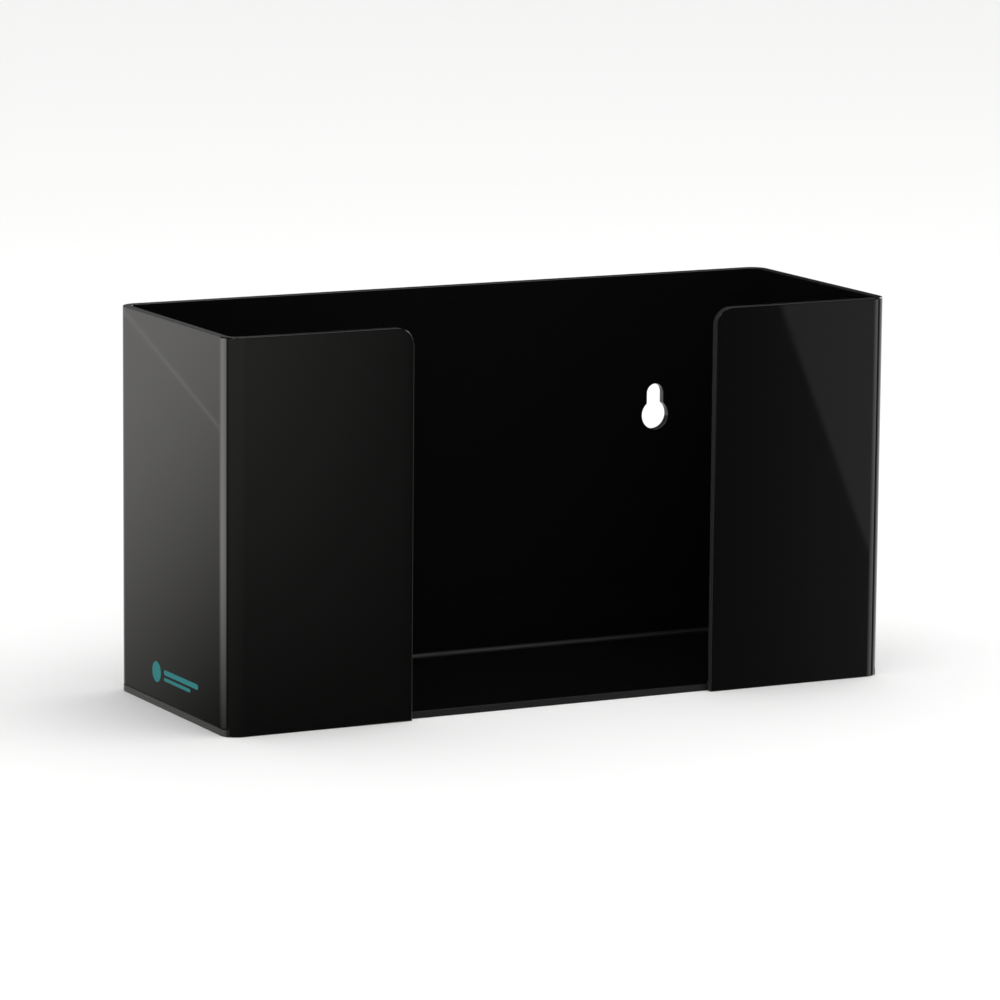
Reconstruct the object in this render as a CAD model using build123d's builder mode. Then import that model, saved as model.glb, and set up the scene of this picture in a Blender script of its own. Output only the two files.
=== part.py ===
from build123d import *
import os

# A wall-hung dispenser for one box of disposable gloves, made from two pieces of black acrylic.
# Frame: X along the width, -Y out of the front, +Z up. The origin is the centre of the foot print,
# on the surface that the dispenser stands on. Units are millimetres.

# Overall outside sizes
width = 254.0
depth = 92.0
height = 135.0

# Sheets
wall_thickness = 3.0
base_thickness = 2.5
bend_inner_radius = 3.2
bend_outer_radius = bend_inner_radius + wall_thickness

# Open front between the two flaps
front_gap = 116.0
flap_corner_radius = 6.5

# Keyholes for two wall screws
keyhole_spacing = 166.0
keyhole_entry_height = 83.5
keyhole_entry_diameter = 10.5
keyhole_slot_width = 6.5
keyhole_drop = 8.0
screw_seat_height = keyhole_entry_height + keyhole_drop

# Polished edges
polished_edge_radius = 0.4

# Faces that the two pieces share
half_width = width / 2
half_depth = depth / 2
flap_end = front_gap / 2

# Centres of the bends, and how far a cut through a bend runs past them
bend_centre_x = half_width - bend_outer_radius
bend_centre_y = half_depth - bend_outer_radius
cut_reach = 2 * bend_outer_radius

os.makedirs("parts", exist_ok=True)

# Body sheet: one laser-cut strip, bent on a hot wire along four upright lines, so that it runs
# flap, side, back, side, flap. Its plan is the outer line of that strip, thickened inwards.
with BuildPart() as body_sheet:
    with BuildSketch(Plane.XY) as strip_plan:
        with BuildLine():
            strip = FilletPolyline(
                (-flap_end, -half_depth),
                (-half_width, -half_depth),
                (-half_width, half_depth),
                (half_width, half_depth),
                (half_width, -half_depth),
                (flap_end, -half_depth),
                radius=bend_outer_radius,
            )
            offset(strip, amount=wall_thickness, side=Side.RIGHT, closed=True)
        make_face()
    extrude(amount=height)

    # The side walls stand on the base plate. So the foot is notched from the middle of one bend
    # to the middle of the next, while the rest reaches down past the plate's edges.
    with BuildSketch(Plane.XY) as side_notches:
        with BuildLine():
            Polyline(
                (bend_centre_x, bend_centre_y),
                (bend_centre_x + cut_reach, bend_centre_y + cut_reach),
                (bend_centre_x + cut_reach, -bend_centre_y - cut_reach),
                (bend_centre_x, -bend_centre_y),
                close=True,
            )
        make_face()
        mirror(about=Plane.YZ)
    extrude(amount=base_thickness, mode=Mode.SUBTRACT)

    # The free upper corner of each flap is rounded. Its edge runs through the sheet's thickness.
    upper_edges = body_sheet.edges().filter_by(Axis.Y).group_by(Axis.Z)[-1]
    fillet(upper_edges.group_by(SortBy.LENGTH)[0], radius=flap_corner_radius)

    # The open rim and the free edges of the flaps are flame polished, which rounds both arrises.
    rim_edges = body_sheet.faces().sort_by(Axis.Z)[-1].edges()
    flap_ends = rim_edges.filter_by(Axis.Y).group_by(SortBy.LENGTH)[0]
    fillet(rim_edges - flap_ends, radius=polished_edge_radius)

    # Two keyholes: the screw head enters the round end and the sheet drops on to the slot.
    with BuildSketch(Plane.XZ.offset(-half_depth)) as keyholes:
        with Locations((0, keyhole_entry_height)):
            with GridLocations(keyhole_spacing, 0, 2, 1):
                Circle(keyhole_entry_diameter / 2)
        with Locations((0, (keyhole_entry_height + screw_seat_height) / 2)):
            with GridLocations(keyhole_spacing, 0, 2, 1):
                SlotCenterToCenter(keyhole_drop, keyhole_slot_width, rotation=90)
    extrude(amount=wall_thickness, mode=Mode.SUBTRACT)
body_sheet.part.label = "body_sheet"

# Base plate: a flat plate cemented under the side walls, between the flaps and the back wall. Its
# corners carry on the curve of the bends, and are cut in where the foot of each bend passes.
with BuildPart() as base_plate:
    with BuildSketch(Plane.XY):
        RectangleRounded(width, depth, bend_outer_radius)
        with GridLocations(0, depth - wall_thickness, 1, 2):
            Rectangle(2 * bend_centre_x, wall_thickness, mode=Mode.SUBTRACT)
    extrude(amount=base_thickness)
    add(body_sheet.part, mode=Mode.SUBTRACT)
base_plate.part.label = "base_plate"

export_step(body_sheet.part, "parts/body_sheet.step")
export_step(base_plate.part, "parts/base_plate.step")
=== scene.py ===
import bmesh
import bpy
import math
from mathutils import Matrix, Vector


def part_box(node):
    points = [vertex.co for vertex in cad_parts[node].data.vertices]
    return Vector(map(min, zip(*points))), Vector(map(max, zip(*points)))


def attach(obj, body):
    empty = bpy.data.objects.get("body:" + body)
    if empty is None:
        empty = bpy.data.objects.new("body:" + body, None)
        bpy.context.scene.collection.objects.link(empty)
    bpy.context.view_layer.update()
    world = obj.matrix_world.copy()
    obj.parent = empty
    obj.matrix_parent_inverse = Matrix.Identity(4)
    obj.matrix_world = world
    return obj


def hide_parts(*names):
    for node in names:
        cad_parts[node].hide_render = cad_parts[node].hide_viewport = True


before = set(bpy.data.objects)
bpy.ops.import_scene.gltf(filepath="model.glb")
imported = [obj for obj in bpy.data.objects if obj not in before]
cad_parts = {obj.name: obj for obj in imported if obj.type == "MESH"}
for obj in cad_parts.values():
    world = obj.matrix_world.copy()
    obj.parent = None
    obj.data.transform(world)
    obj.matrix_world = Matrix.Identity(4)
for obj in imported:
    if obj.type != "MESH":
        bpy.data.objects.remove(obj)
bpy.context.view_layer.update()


# Camera: a long lens looks at the dispenser from its front left and from a little above the rim,
# so that the left side, both flaps and the inside of the back wall show. Lengths are in metres.
camera_place = Vector((-0.8914, -1.7336, 0.4010))
camera_turn = math.radians(27.164)
camera_dip = math.radians(9.786)
camera_roll = math.radians(0.50)
camera_lens = 204.0
camera_near_clip = 0.05

camera_data = bpy.data.cameras.new("camera")
camera_data.lens = camera_lens
camera_data.clip_start = camera_near_clip
camera = bpy.data.objects.new("camera", camera_data)
bpy.context.scene.collection.objects.link(camera)
level_look = Matrix.Rotation(math.radians(90) - camera_dip, 4, "X")
camera.matrix_world = (
    Matrix.Translation(camera_place)
    @ Matrix.Rotation(-camera_turn, 4, "Z")
    @ level_look
    @ Matrix.Rotation(camera_roll, 4, "Z")
)
bpy.context.scene.camera = camera
bpy.context.scene.view_settings.view_transform = "Standard"


# Floor: a pale matt sweep, far larger than the view. The soft panels below stand in for it in the
# gloss of the acrylic, so it is left out of the reflections.
floor_half = 4.0
floor_tone = (0.90, 0.90, 0.895)


def new_object(name, shape, *materials):
    mesh = bpy.data.meshes.new(name)
    shape.to_mesh(mesh)
    shape.free()
    for material in materials:
        mesh.materials.append(material)
    made = bpy.data.objects.new(name, mesh)
    bpy.context.scene.collection.objects.link(made)
    return made


def new_material(name):
    material = bpy.data.materials.new(name)
    material.use_nodes = True
    return material, material.node_tree.nodes, material.node_tree.links


floor_material, nodes, links = new_material("pale_floor")
nodes["Principled BSDF"].inputs["Base Color"].default_value = (*floor_tone, 1)
nodes["Principled BSDF"].inputs["Roughness"].default_value = 0.9
nodes["Principled BSDF"].inputs["Specular IOR Level"].default_value = 0.1

floor_shape = bmesh.new()
bmesh.ops.create_grid(floor_shape, x_segments=1, y_segments=1, size=floor_half)
floor = new_object("floor", floor_shape, floor_material)
floor.visible_glossy = False


# Room light: an even white surround lights the floor, and one broad lamp overhead gives the
# soft shadow under the dispenser.
surround_strength = 1.03
overhead_power = 9.0
overhead_size = 1.6
overhead_place = Vector((0.5, -0.4, 1.8))

world = bpy.data.worlds.new("white_surround")
world.use_nodes = True
world.node_tree.nodes["Background"].inputs["Color"].default_value = (1, 1, 1, 1)
world.node_tree.nodes["Background"].inputs["Strength"].default_value = surround_strength
world.cycles_visibility.glossy = False
bpy.context.scene.world = world

lamp_data = bpy.data.lights.new("overhead_lamp", "AREA")
lamp_data.shape = "DISK"
lamp_data.size = overhead_size
lamp_data.energy = overhead_power
lamp = bpy.data.objects.new("overhead_lamp", lamp_data)
lamp.location = overhead_place
lamp.rotation_mode = "QUATERNION"
lamp.rotation_quaternion = (-overhead_place).to_track_quat("-Z", "Y")
bpy.context.scene.collection.objects.link(lamp)


# Soft panels: curved sheets of lit diffusion cloth that stand round the dispenser, seen only in
# its gloss. Azimuths are in degrees from straight in front, positive to the right. Each edge of a
# panel fades from its first value, dark, to its second, full, and panels behind each other add up.
far = 1.20
panel_foot = -0.9
panel_step = 2.0
horizon = 0.06
warm_white = (1.0, 0.985, 0.95)
plain_white = (1.0, 1.0, 1.0)


def show_in_gloss_only(prop):
    prop.visible_camera = False
    prop.visible_diffuse = False
    prop.visible_shadow = False


def soft_panel(
        name, radius, azimuths, top, radiance, tint,
        left_edge=None, right_edge=None, lower_edge=None, slants=()):
    start, end = (math.radians(azimuth) for azimuth in azimuths)
    turns = max(2, math.ceil(math.degrees(end - start) / panel_step))
    shape = bmesh.new()
    cloth_map = shape.loops.layers.uv.new("cloth")
    foot = shape.verts.new((radius * math.sin(start), -radius * math.cos(start), panel_foot))
    head = shape.verts.new(foot.co + Vector((0, 0, top - panel_foot)))
    edge = shape.edges.new((foot, head))
    bmesh.ops.spin(
        shape, geom=[foot, head, edge], cent=(0, 0, 0), axis=(0, 0, 1), angle=end - start, steps=turns)

    # The cloth's map is in metres along and up it.
    for number, face in enumerate(shape.faces):
        middle = start + (end - start) * (number + 0.5) / turns
        for loop in face.loops:
            place = loop.vert.co
            azimuth = math.atan2(place.x, -place.y)
            azimuth += 2 * math.pi * round((middle - azimuth) / (2 * math.pi))
            loop[cloth_map].uv = (azimuth * radius, place.z)

    # Each fade runs from dark to full along one direction of the map.
    fades = list(slants)
    if lower_edge:
        fades.append(((0, 1), *lower_edge))
    for limits, inwards in ((left_edge, 1), (right_edge, -1)):
        if limits:
            dark, full = (inwards * math.radians(azimuth) * radius for azimuth in limits)
            fades.append(((inwards, 0), dark, full))

    material, nodes, links = new_material(name)
    nodes.remove(nodes["Principled BSDF"])
    cloth = nodes.new("ShaderNodeUVMap")
    cloth.uv_map = "cloth"
    glow = nodes.new("ShaderNodeEmission")
    glow.inputs["Color"].default_value = (*tint, 1)
    clear = nodes.new("ShaderNodeBsdfTransparent")
    both = nodes.new("ShaderNodeAddShader")
    links.new(glow.outputs["Emission"], both.inputs[0])
    links.new(clear.outputs["BSDF"], both.inputs[1])
    links.new(both.outputs["Shader"], nodes["Material Output"].inputs["Surface"])
    strength = glow.inputs["Strength"]
    for direction, dark, full in fades:
        reach = nodes.new("ShaderNodeVectorMath")
        reach.operation = "DOT_PRODUCT"
        reach.inputs[1].default_value = (*direction, 0)
        links.new(cloth.outputs["UV"], reach.inputs[0])
        fade = nodes.new("ShaderNodeMapRange")
        fade.interpolation_type = "SMOOTHSTEP"
        fade.inputs["From Min"].default_value = dark
        fade.inputs["From Max"].default_value = full
        links.new(reach.outputs["Value"], fade.inputs["Value"])
        dimmer = nodes.new("ShaderNodeMath")
        dimmer.operation = "MULTIPLY"
        links.new(fade.outputs["Result"], dimmer.inputs[0])
        links.new(dimmer.outputs["Value"], strength)
        strength = dimmer.inputs[1]
    strength.default_value = radiance
    show_in_gloss_only(new_object(name, shape, material))


# The wall of light behind and to the left, which the left side shows fading downwards, and the
# join in its cloth, a thin slanting line.
wall_slope = ((-0.7206, 0.6933), 2.051, 2.277)
soft_panel(
    "rear_left_panel", far, (-215, -149), top=horizon, radiance=0.92, tint=warm_white, slants=[wall_slope])
join_slant = (0.7714, 0.6365)
join_place = -2.4227
join_half = 0.0015
join_sides = [(join_slant, join_place + side * join_half, join_place) for side in (-1, 1)]
soft_panel(
    "rear_left_join", far - 0.02, (-156, -146), top=horizon, radiance=0.26, tint=warm_white,
    slants=join_sides)

# The brighter window at the left, which the front left bend draws out into a narrow stripe.
soft_panel(
    "left_panel", far, (-149, -86), top=horizon, radiance=1.25, tint=warm_white,
    right_edge=(-86, -95), lower_edge=(-0.27, -0.12))
soft_panel(
    "left_window", far + 0.02, (-149, -86), top=horizon, radiance=2.0, tint=warm_white,
    left_edge=(-143.61, -116.07), right_edge=(-84.59, -93.44), lower_edge=(-0.27, -0.12))

# A small lamp head close in front of the left flap, whose glow fades across it and downwards. A
# mask at its right edge keeps it out of the back wall.
near = 0.35
mouth_mask = (15.2, 13.4)
glow_slope = ((-1, 0), math.radians(-23) * near, math.radians(3) * near)
soft_panel(
    "front_glow", near, (-88, 16), top=0.14, radiance=0.40, tint=warm_white,
    left_edge=(-88, -68), right_edge=mouth_mask, lower_edge=(-0.112, 0.12), slants=[glow_slope])

# The slanting card at the front right, whose edge crosses the right flap, and the brighter strips
# beyond it in the front right bend.
card_slant = ((0.9348, 0.3551), 0.6255, 0.6295)
soft_panel(
    "front_right_card", far, (30, 70), top=horizon, radiance=0.26, tint=plain_white,
    right_edge=(70, 67), lower_edge=(-1.1, -0.1), slants=[card_slant])
soft_panel(
    "front_right_glow", far + 0.02, (29, 70), top=horizon, radiance=1.3, tint=plain_white,
    left_edge=(28.52, 60.98), right_edge=(68.85, 65.90))
soft_panel(
    "right_panel", far, (70, 150), top=horizon, radiance=1.2, tint=plain_white, left_edge=(72, 100))

# Two raised lamp heads, which only the arrises, the rounded corners of the flaps and the keyholes
# catch, and two small ones close behind, which the left wall's rim catches.
soft_panel(
    "upper_left_head", far + 0.04, (-68, -34), top=1.9, radiance=5.0, tint=plain_white,
    left_edge=(-63.87, -60.0), right_edge=(-34.84, -38.71), lower_edge=(1.0, 1.1))
soft_panel(
    "upper_right_head", far + 0.04, (84, 136), top=0.85, radiance=4.0, tint=plain_white,
    left_edge=(83.23, 87.10), right_edge=(129.68, 125.81), lower_edge=(0.05, 0.15))
over_rim = 0.40
soft_panel(
    "rear_rim_head", over_rim, (-164, -130), top=0.36, radiance=0.75, tint=plain_white,
    left_edge=(-164, -157), right_edge=(-130, -136), lower_edge=(0.10, 0.13))
soft_panel(
    "rear_rim_glow", over_rim + 0.02, (-196, -176), top=0.30, radiance=0.12, tint=plain_white,
    left_edge=(-196, -190), lower_edge=(0.12, 0.16))


# Black acrylic: cast sheet, nearly free of scattered light and glossy, with the faint waviness of
# a cast face and a little polish haze.
acrylic_ior = 1.49


def black_acrylic(name, tone, haze, wave):
    material, nodes, links = new_material(name)
    gloss = nodes["Principled BSDF"]
    gloss.inputs["Base Color"].default_value = (*tone, 1)
    gloss.inputs["IOR"].default_value = acrylic_ior
    place = nodes.new("ShaderNodeTexCoord")
    smear = nodes.new("ShaderNodeTexNoise")
    smear.inputs["Scale"].default_value = 45.0
    smear.inputs["Detail"].default_value = 3.0
    links.new(place.outputs["Object"], smear.inputs["Vector"])
    polish = nodes.new("ShaderNodeMapRange")
    polish.inputs["From Min"].default_value = 0.35
    polish.inputs["From Max"].default_value = 0.75
    polish.inputs["To Min"].default_value = haze[0]
    polish.inputs["To Max"].default_value = haze[1]
    links.new(smear.outputs["Fac"], polish.inputs["Value"])
    links.new(polish.outputs["Result"], gloss.inputs["Roughness"])
    swell = nodes.new("ShaderNodeTexNoise")
    swell.inputs["Scale"].default_value = 9.0
    swell.inputs["Detail"].default_value = 0.0
    links.new(place.outputs["Object"], swell.inputs["Vector"])
    bump = nodes.new("ShaderNodeBump")
    bump.inputs["Strength"].default_value = 1.0
    bump.inputs["Distance"].default_value = wave
    links.new(swell.outputs["Fac"], bump.inputs["Height"])
    links.new(bump.outputs["Normal"], gloss.inputs["Normal"])
    return material


face_acrylic = black_acrylic("black_acrylic_face", (0.0032, 0.0032, 0.0031), (0.012, 0.03), 0.00001)


# Cut edges: the laser leaves them a shade greyer than the faces, with fine marks across. Those of
# the bent sheet are flame polished afterwards, and those of the plate stay as cut. The sheet's edges
# are also painted lighter than that grey, a painted sheen for the light their polished faces catch.
def cut_acrylic(name, tone, roughness, marks_depth):
    material, nodes, links = new_material(name)
    satin = nodes["Principled BSDF"]
    satin.inputs["Base Color"].default_value = (*tone, 1)
    satin.inputs["IOR"].default_value = acrylic_ior
    satin.inputs["Roughness"].default_value = roughness
    place = nodes.new("ShaderNodeTexCoord")
    marks = nodes.new("ShaderNodeTexNoise")
    marks.inputs["Scale"].default_value = 900.0
    marks.inputs["Detail"].default_value = 2.0
    links.new(place.outputs["Object"], marks.inputs["Vector"])
    bump = nodes.new("ShaderNodeBump")
    bump.inputs["Strength"].default_value = 0.5
    bump.inputs["Distance"].default_value = marks_depth
    links.new(marks.outputs["Fac"], bump.inputs["Height"])
    links.new(bump.outputs["Normal"], satin.inputs["Normal"])
    return material


# Partly the cut's own grey, partly painted sheen: this tone is raised to give the edges' highlights.
sheet_edge_grey_and_painted_sheen = cut_acrylic("cut_edge_of_sheet_and_painted_sheen", (0.028, 0.028, 0.027), 0.16, 0.00003)
plate_edge_acrylic = cut_acrylic("cut_edge_of_plate", (0.012, 0.012, 0.0116), 0.32, 0.00008)


# Bent sheet: one strip of 3 mm acrylic, laser cut flat with its keyholes and reliefs, then bent
# on a hot wire along four upright lines into flap, side, back, side and flap.
sheet_low, sheet_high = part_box("body_sheet")
plate_low, plate_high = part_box("base_plate")
half_width, half_depth, height = sheet_high
plate_thickness = plate_high.z
sheet_thickness = 0.0030
plate_half_depth = half_depth - sheet_thickness

bend_radius = 0.0062
bend_steps = 16
flap_gap = 0.116
flap_corner = 0.0065
corner_steps = 14
arris = 0.00045
arris_steps = 3
keyhole_spacing = 0.166
keyhole_entry = Vector((0.00525, 0.0835))     # radius of the round entry, height of its centre
keyhole_slot = Vector((0.00325, 0.0915))      # half width of the slot, height of the screw's seat
slot_steps = 14
entry_steps = 22
window_half = 0.014
crease_angle = math.radians(35)
close = 1e-6

step_turn = math.radians(90) / bend_steps
step_length = 2 * bend_radius * math.sin(step_turn / 2)
bend_length = bend_steps * step_length
back_run = half_width - bend_radius
side_run = 2 * (half_depth - bend_radius)
flap_run = back_run - flap_gap / 2
rear_bend = back_run
front_bend = rear_bend + bend_length + side_run
flap_start = front_bend + bend_length
notch_start = rear_bend + bend_length / 2
notch_end = front_bend + bend_length / 2
blank_end = flap_start + flap_run


def cut(shape, geometry, place, normal):
    bmesh.ops.bisect_plane(shape, geom=geometry, plane_co=place, plane_no=normal, dist=close / 10)


def all_of(shape):
    return shape.verts[:] + shape.edges[:] + shape.faces[:]


def verts_in(geometry):
    return [part for part in geometry if isinstance(part, bmesh.types.BMVert)]


def edges_in(geometry):
    return [part for part in geometry if isinstance(part, bmesh.types.BMEdge)]


def smooth_but_creases(shape):
    for face in shape.faces:
        face.smooth = True
    for edge in shape.edges:
        if edge.calc_face_angle() > crease_angle:
            edge.smooth = False


def keep_faces_flat(piece):
    shading = piece.modifiers.new("flat_faces", "WEIGHTED_NORMAL")
    shading.mode = "FACE_AREA"
    shading.weight = 100
    shading.use_face_influence = True
    shading.keep_sharp = True


sheet = bmesh.new()
bmesh.ops.create_grid(sheet, x_segments=1, y_segments=1, size=1)
bmesh.ops.scale(sheet, vec=(blank_end, height / 2, 1), verts=sheet.verts)
bmesh.ops.rotate(sheet, cent=(0, 0, 0), matrix=Matrix.Rotation(math.radians(90), 3, "X"), verts=sheet.verts)
bmesh.ops.translate(sheet, vec=(0, half_depth, height / 2), verts=sheet.verts)

# The notches in the foot, where the side walls stand on the base plate, from the middle of one
# bend to the middle of the next.
cut(sheet, all_of(sheet), (0, 0, plate_thickness), (0, 0, 1))
for side in (-1, 1):
    for line in (notch_start, notch_end):
        cut(sheet, all_of(sheet), (side * line, 0, 0), (1, 0, 0))
notches = [
    face for face in sheet.faces
    if notch_start < abs(face.calc_center_median().x) < notch_end
    and face.calc_center_median().z < plate_thickness
]
bmesh.ops.delete(sheet, geom=notches, context="FACES")
bmesh.ops.dissolve_limit(sheet, angle_limit=math.radians(0.5), verts=sheet.verts, edges=sheet.edges)

# The rounded upper corner of each flap.
free_corners = [
    vert for vert in sheet.verts if abs(vert.co.x) > blank_end - close and vert.co.z > height - close
]
bmesh.ops.bevel(
    sheet, geom=free_corners, offset=flap_corner, offset_type="OFFSET", segments=corner_steps, profile=0.5,
    affect="VERTICES", material=-1,
)

# The two keyholes, in a window of the back wall.
for side in (-1, 1):
    cut(sheet, all_of(sheet), (side * rear_bend, 0, 0), (1, 0, 0))
for side in (-1, 1):
    centre = side * keyhole_spacing / 2
    window_middle = Vector((centre, half_depth, (keyhole_entry.y + keyhole_slot.y) / 2))
    for place, normal in (
        ((centre - window_half, 0, 0), (1, 0, 0)),
        ((centre + window_half, 0, 0), (1, 0, 0)),
        ((0, 0, keyhole_entry.y - window_half), (0, 0, 1)),
        ((0, 0, keyhole_slot.y + window_half), (0, 0, 1)),
    ):
        back = [face for face in sheet.faces if abs(face.calc_center_median().x) < rear_bend]
        back_edges = list({edge for face in back for edge in face.edges})
        back_verts = list({vert for face in back for vert in face.verts})
        cut(sheet, back_verts + back_edges + back, place, normal)
    window = min(sheet.faces, key=lambda face: (face.calc_center_median() - window_middle).length)
    frame_edges = list(window.edges)
    bmesh.ops.delete(sheet, geom=[window], context="FACES_ONLY")

    # Half the outline is spun from two points, then mirrored.
    waist_turn = math.asin(keyhole_slot.x / keyhole_entry.x)
    outline = bmesh.new()
    top = outline.verts.new((0, 0, keyhole_slot.y + keyhole_slot.x))
    arch = bmesh.ops.spin(
        outline, geom=[top], cent=(0, 0, keyhole_slot.y), axis=(0, 1, 0),
        angle=math.radians(90), steps=slot_steps)
    shoulder = verts_in(arch["geom_last"])[0]
    waist = outline.verts.new((keyhole_slot.x, 0, keyhole_entry.y + keyhole_entry.x * math.cos(waist_turn)))
    outline.edges.new((shoulder, waist))
    bmesh.ops.spin(
        outline, geom=[waist], cent=(0, 0, keyhole_entry.y), axis=(0, 1, 0),
        angle=math.pi - waist_turn, steps=entry_steps)
    bmesh.ops.mirror(outline, geom=outline.verts[:] + outline.edges[:], axis="X", merge_dist=close)
    bmesh.ops.translate(outline, vec=(centre, half_depth, 0), verts=outline.verts)
    twins = {vert: sheet.verts.new(vert.co) for vert in outline.verts}
    hole_edges = [sheet.edges.new([twins[vert] for vert in edge.verts]) for edge in outline.edges]
    outline.free()
    bmesh.ops.triangle_fill(sheet, use_beauty=True, edges=frame_edges + hole_edges)

# The thickness, and the fine arris that flame polishing leaves round every cut edge.
bmesh.ops.remove_doubles(sheet, verts=sheet.verts, dist=close)
bmesh.ops.recalc_face_normals(sheet, faces=sheet.faces)
if sum(face.normal.y * face.calc_area() for face in sheet.faces) < 0:
    bmesh.ops.reverse_faces(sheet, faces=sheet.faces)
bmesh.ops.solidify(sheet, geom=sheet.faces[:], thickness=sheet_thickness)
bmesh.ops.recalc_face_normals(sheet, faces=sheet.faces)
for face in sheet.faces:
    face.material_index = 0 if abs(face.normal.y) > 0.5 else 1
cut_edges = [
    edge for edge in sheet.edges
    if len(edge.link_faces) == 2 and edge.link_faces[0].material_index != edge.link_faces[1].material_index
]
bmesh.ops.bevel(
    sheet, geom=cut_edges, offset=arris, offset_type="OFFSET", segments=arris_steps, profile=0.5,
    affect="EDGES", material=-1, clamp_overlap=False, face_strength_mode="AFFECTED",
)

# The bends. The blank is scored at each step of a bend, and all that lies beyond a score is turned
# about it, working from the free ends towards the back wall. The score itself turns by half, except
# at a bend's two ends, where it stays square to the wall beside it.
scores = []
for start in (rear_bend, front_bend):
    for step in range(bend_steps + 1):
        first_or_last = step in (0, bend_steps)
        turn = step_turn / 2 if first_or_last else step_turn
        own_share = {0: 0.0, bend_steps: 1.0}.get(step, 0.5)
        scores.append((start + step * step_length, turn, own_share))
for side in (-1, 1):
    for line, turn, own_share in scores:
        cut(sheet, all_of(sheet), (side * line, 0, 0), (1, 0, 0))
blank_place = sheet.verts.layers.float.new("along_blank")
for vert in sheet.verts:
    vert[blank_place] = vert.co.x
for side in (-1, 1):
    for line, turn, own_share in reversed(scores):
        axis_place = (side * line, half_depth, 0)
        beyond = [vert for vert in sheet.verts if side * vert[blank_place] > line + close]
        on_line = [vert for vert in sheet.verts if abs(side * vert[blank_place] - line) <= close]
        for verts, share in ((beyond, 1.0), (on_line, own_share)):
            fold = Matrix.Rotation(-side * turn * share, 3, "Z")
            bmesh.ops.rotate(sheet, cent=axis_place, matrix=fold, verts=verts)
bmesh.ops.recalc_face_normals(sheet, faces=sheet.faces)
smooth_but_creases(sheet)

bent_sheet = new_object("bent_sheet", sheet, face_acrylic, sheet_edge_grey_and_painted_sheen)
keep_faces_flat(bent_sheet)
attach(bent_sheet, "root")
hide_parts("body_sheet")


# Base plate: a flat acrylic plate under the side walls, solvent-cemented between the flaps and
# the back wall. Its corners carry on the curve of the bends, and are cut in to let their feet past.
plate_arris = 0.00025
inner_radius = bend_radius - sheet_thickness
bend_place = Vector((half_width - bend_radius, half_depth - bend_radius, 0))
half_bend = math.radians(-45)

plate = bmesh.new()
touch = plate.verts.new(bend_place + Vector((0, inner_radius, 0)))
inside = bmesh.ops.spin(
    plate, geom=[touch], cent=bend_place, axis=(0, 0, 1), angle=half_bend, steps=bend_steps // 2)
pocket = verts_in(inside["geom_last"])[0]
shoulder = plate.verts.new(bend_place + Vector((bend_radius, bend_radius, 0)) * math.sqrt(0.5))
bmesh.ops.spin(
    plate, geom=[shoulder], cent=bend_place, axis=(0, 0, 1), angle=half_bend, steps=bend_steps // 2)
plate.edges.new((pocket, shoulder))
bmesh.ops.mirror(plate, geom=all_of(plate), axis="X", merge_dist=0)
bmesh.ops.mirror(plate, geom=all_of(plate), axis="Y", merge_dist=0)
ends = [vert for vert in plate.verts if len(vert.link_edges) == 1]
for vert in ends:
    across = abs(vert.co.x) < half_width - close
    partner = Vector((-vert.co.x, vert.co.y, 0)) if across else Vector((vert.co.x, -vert.co.y, 0))
    other = min(ends, key=lambda end: (end.co - partner).length)
    if not plate.edges.get((vert, other)):
        plate.edges.new((vert, other))
bmesh.ops.contextual_create(plate, geom=plate.edges[:])
lifted = bmesh.ops.extrude_face_region(plate, geom=plate.faces[:])["geom"]
bmesh.ops.translate(plate, vec=(0, 0, plate_thickness), verts=verts_in(lifted))
bmesh.ops.recalc_face_normals(plate, faces=plate.faces)
for face in plate.faces:
    face.material_index = 0 if abs(face.normal.z) > 0.5 else 1
plate_edges = [
    edge for edge in plate.edges
    if edge.link_faces[0].material_index != edge.link_faces[1].material_index
]
bmesh.ops.bevel(
    plate, geom=plate_edges, offset=plate_arris, offset_type="OFFSET", segments=arris_steps, profile=0.5,
    affect="EDGES", material=-1, face_strength_mode="AFFECTED",
)
smooth_but_creases(plate)

base_plate = new_object("base_plate_polished", plate, face_acrylic, plate_edge_acrylic)
keep_faces_flat(base_plate)
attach(base_plate, "root")
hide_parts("base_plate")


# Cement bead: a thin concave fillet of set solvent cement in the angle between the plate and the
# walls, all round the inside from one flap's free end to the other's.
bead_leg = 0.0010
bead_sunk = 0.00005
bead_steps = 6
bead_turn_steps = 8
bead_crease_angle = math.radians(40)

bead = bmesh.new()
crest = bead.verts.new((0, 0, bead_leg))
curve = bmesh.ops.spin(
    bead, geom=[crest], cent=(0, -bead_leg, bead_leg), axis=(1, 0, 0), angle=math.radians(-90),
    steps=bead_steps)
toe = verts_in(curve["geom_last"])[0]
under = [
    bead.verts.new(place) for place in (
        (0, -bead_leg, -bead_sunk), (0, bead_sunk, -bead_sunk), (0, bead_sunk, bead_leg),
    )
]
for pair in zip([toe] + under, under + [crest]):
    bead.edges.new(pair)
bmesh.ops.translate(bead, vec=(0, plate_half_depth, plate_thickness), verts=bead.verts)

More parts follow.
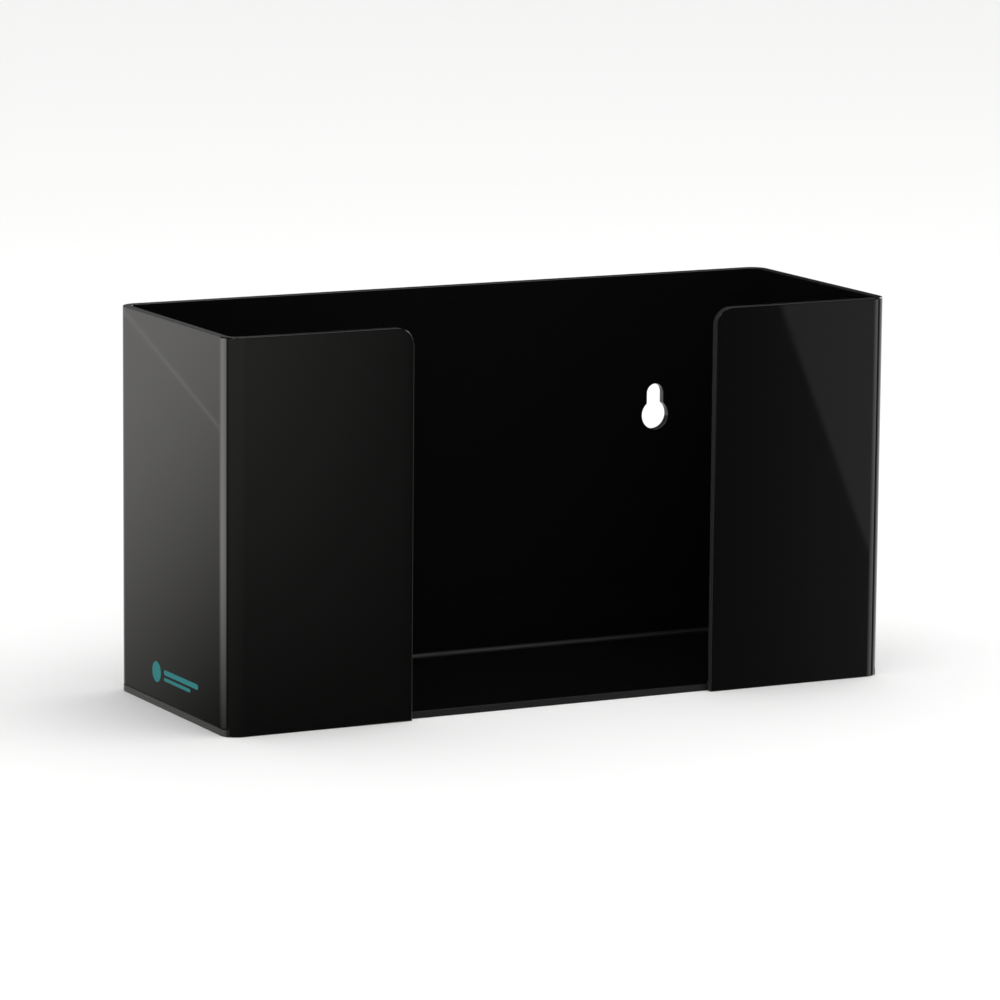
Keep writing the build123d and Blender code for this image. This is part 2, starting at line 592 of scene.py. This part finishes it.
profile = bead.edges[:]
for run, turn_place in (
    ((-back_run, 0, 0), (-back_run, half_depth - bend_radius, 0)),
    ((0, -side_run, 0), (-back_run, -half_depth + bend_radius, 0)),
    ((flap_run, 0, 0), None),
):
    drawn = bmesh.ops.extrude_edge_only(bead, edges=profile)["geom"]
    bmesh.ops.translate(bead, vec=run, verts=verts_in(drawn))
    profile = [edge for edge in edges_in(drawn) if len(edge.link_faces) == 1]
    if turn_place:
        ends = list({vert for edge in profile for vert in edge.verts})
        turned = bmesh.ops.spin(
            bead, geom=ends + profile, cent=turn_place, axis=(0, 0, 1), angle=math.radians(90),
            steps=bead_turn_steps)
        profile = edges_in(turned["geom_last"])
bmesh.ops.contextual_create(bead, geom=profile)
bmesh.ops.mirror(bead, geom=all_of(bead), axis="X", merge_dist=close)
bmesh.ops.remove_doubles(bead, verts=bead.verts, dist=close / 10)
bmesh.ops.recalc_face_normals(bead, faces=bead.faces)
for face in bead.faces:
    face.smooth = True

bead_acrylic = black_acrylic("set_cement", (0.006, 0.006, 0.0058), (0.38, 0.50), 0.00002)
cement_bead = new_object("cement_bead", bead, bead_acrylic)
shading = cement_bead.modifiers.new("crisp_bead", "EDGE_SPLIT")
shading.split_angle = bead_crease_angle
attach(cement_bead, "root")


# Black flag: a card just behind the mouth, seen only in the gloss, so that the back wall and the
# rear bends stay black and don't show the near lamp head between the flaps.
flag_clearance = 0.0002
flag_overlap = 0.0015

flag_material, nodes, links = new_material("black_flag")
nodes["Principled BSDF"].inputs["Base Color"].default_value = (0, 0, 0, 1)
nodes["Principled BSDF"].inputs["Specular IOR Level"].default_value = 0.0
nodes["Principled BSDF"].inputs["Roughness"].default_value = 1.0

flag_shape = bmesh.new()
bmesh.ops.create_grid(flag_shape, x_segments=1, y_segments=1, size=1)
bmesh.ops.scale(
    flag_shape, vec=(flap_gap / 2 + flag_overlap, (height - plate_thickness) / 2 - flag_clearance, 1),
    verts=flag_shape.verts)
bmesh.ops.rotate(
    flag_shape, cent=(0, 0, 0), matrix=Matrix.Rotation(math.radians(90), 3, "X"), verts=flag_shape.verts)
bmesh.ops.translate(
    flag_shape, vec=(0, flag_clearance - plate_half_depth, (height + plate_thickness) / 2),
    verts=flag_shape.verts)
show_in_gloss_only(new_object("black_flag", flag_shape, flag_material))


# Side print: one colour of screen ink near the foot of the left side, a disc and two round-ended
# bars, a few hundredths of a millimetre thick.
ink_thickness = 0.00003
ink_sunk = 0.00002
ink_tone = (0.006, 0.20, 0.21)
disc_radius = 0.0036
disc_steps = 48
disc_place = (-0.0125, 0.0122)                # along the side towards the front, and up
bars = (                                      # each bar's middle, then its length and width
    ((0.0080, 0.0131), (0.0285, 0.0018)),
    ((0.0048, 0.0107), (0.0220, 0.0012)),
)
bar_rounding = 0.49                           # of the bar's width
bar_end_steps = 8

ink_shape = bmesh.new()
bmesh.ops.create_circle(ink_shape, cap_ends=True, segments=disc_steps, radius=disc_radius)
bmesh.ops.translate(ink_shape, vec=(*disc_place, 0), verts=ink_shape.verts)
for middle, size in bars:
    bar = bmesh.ops.create_grid(ink_shape, x_segments=1, y_segments=1, size=0.5)["verts"]
    bmesh.ops.scale(ink_shape, vec=(*size, 1), verts=bar)
    bmesh.ops.translate(ink_shape, vec=(*middle, 0), verts=bar)
    bmesh.ops.bevel(
        ink_shape, geom=bar, offset=size[1] * bar_rounding, offset_type="OFFSET",
        segments=bar_end_steps, profile=0.5, affect="VERTICES", material=-1,
    )
printed = bmesh.ops.extrude_face_region(ink_shape, geom=ink_shape.faces[:])["geom"]
bmesh.ops.translate(ink_shape, vec=(0, 0, ink_thickness + ink_sunk), verts=verts_in(printed))
bmesh.ops.translate(ink_shape, vec=(0, 0, -ink_sunk), verts=ink_shape.verts)
side_frame = Matrix(((0, 0, -1, -half_width), (-1, 0, 0, 0), (0, 1, 0, 0), (0, 0, 0, 1)))
bmesh.ops.transform(ink_shape, matrix=side_frame, verts=ink_shape.verts)
bmesh.ops.recalc_face_normals(ink_shape, faces=ink_shape.faces)

ink, nodes, links = new_material("teal_ink")
nodes["Principled BSDF"].inputs["Base Color"].default_value = (*ink_tone, 1)
nodes["Principled BSDF"].inputs["Roughness"].default_value = 0.4
nodes["Principled BSDF"].inputs["Specular IOR Level"].default_value = 0.15
side_print = new_object("side_print", ink_shape, ink)
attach(side_print, "root")
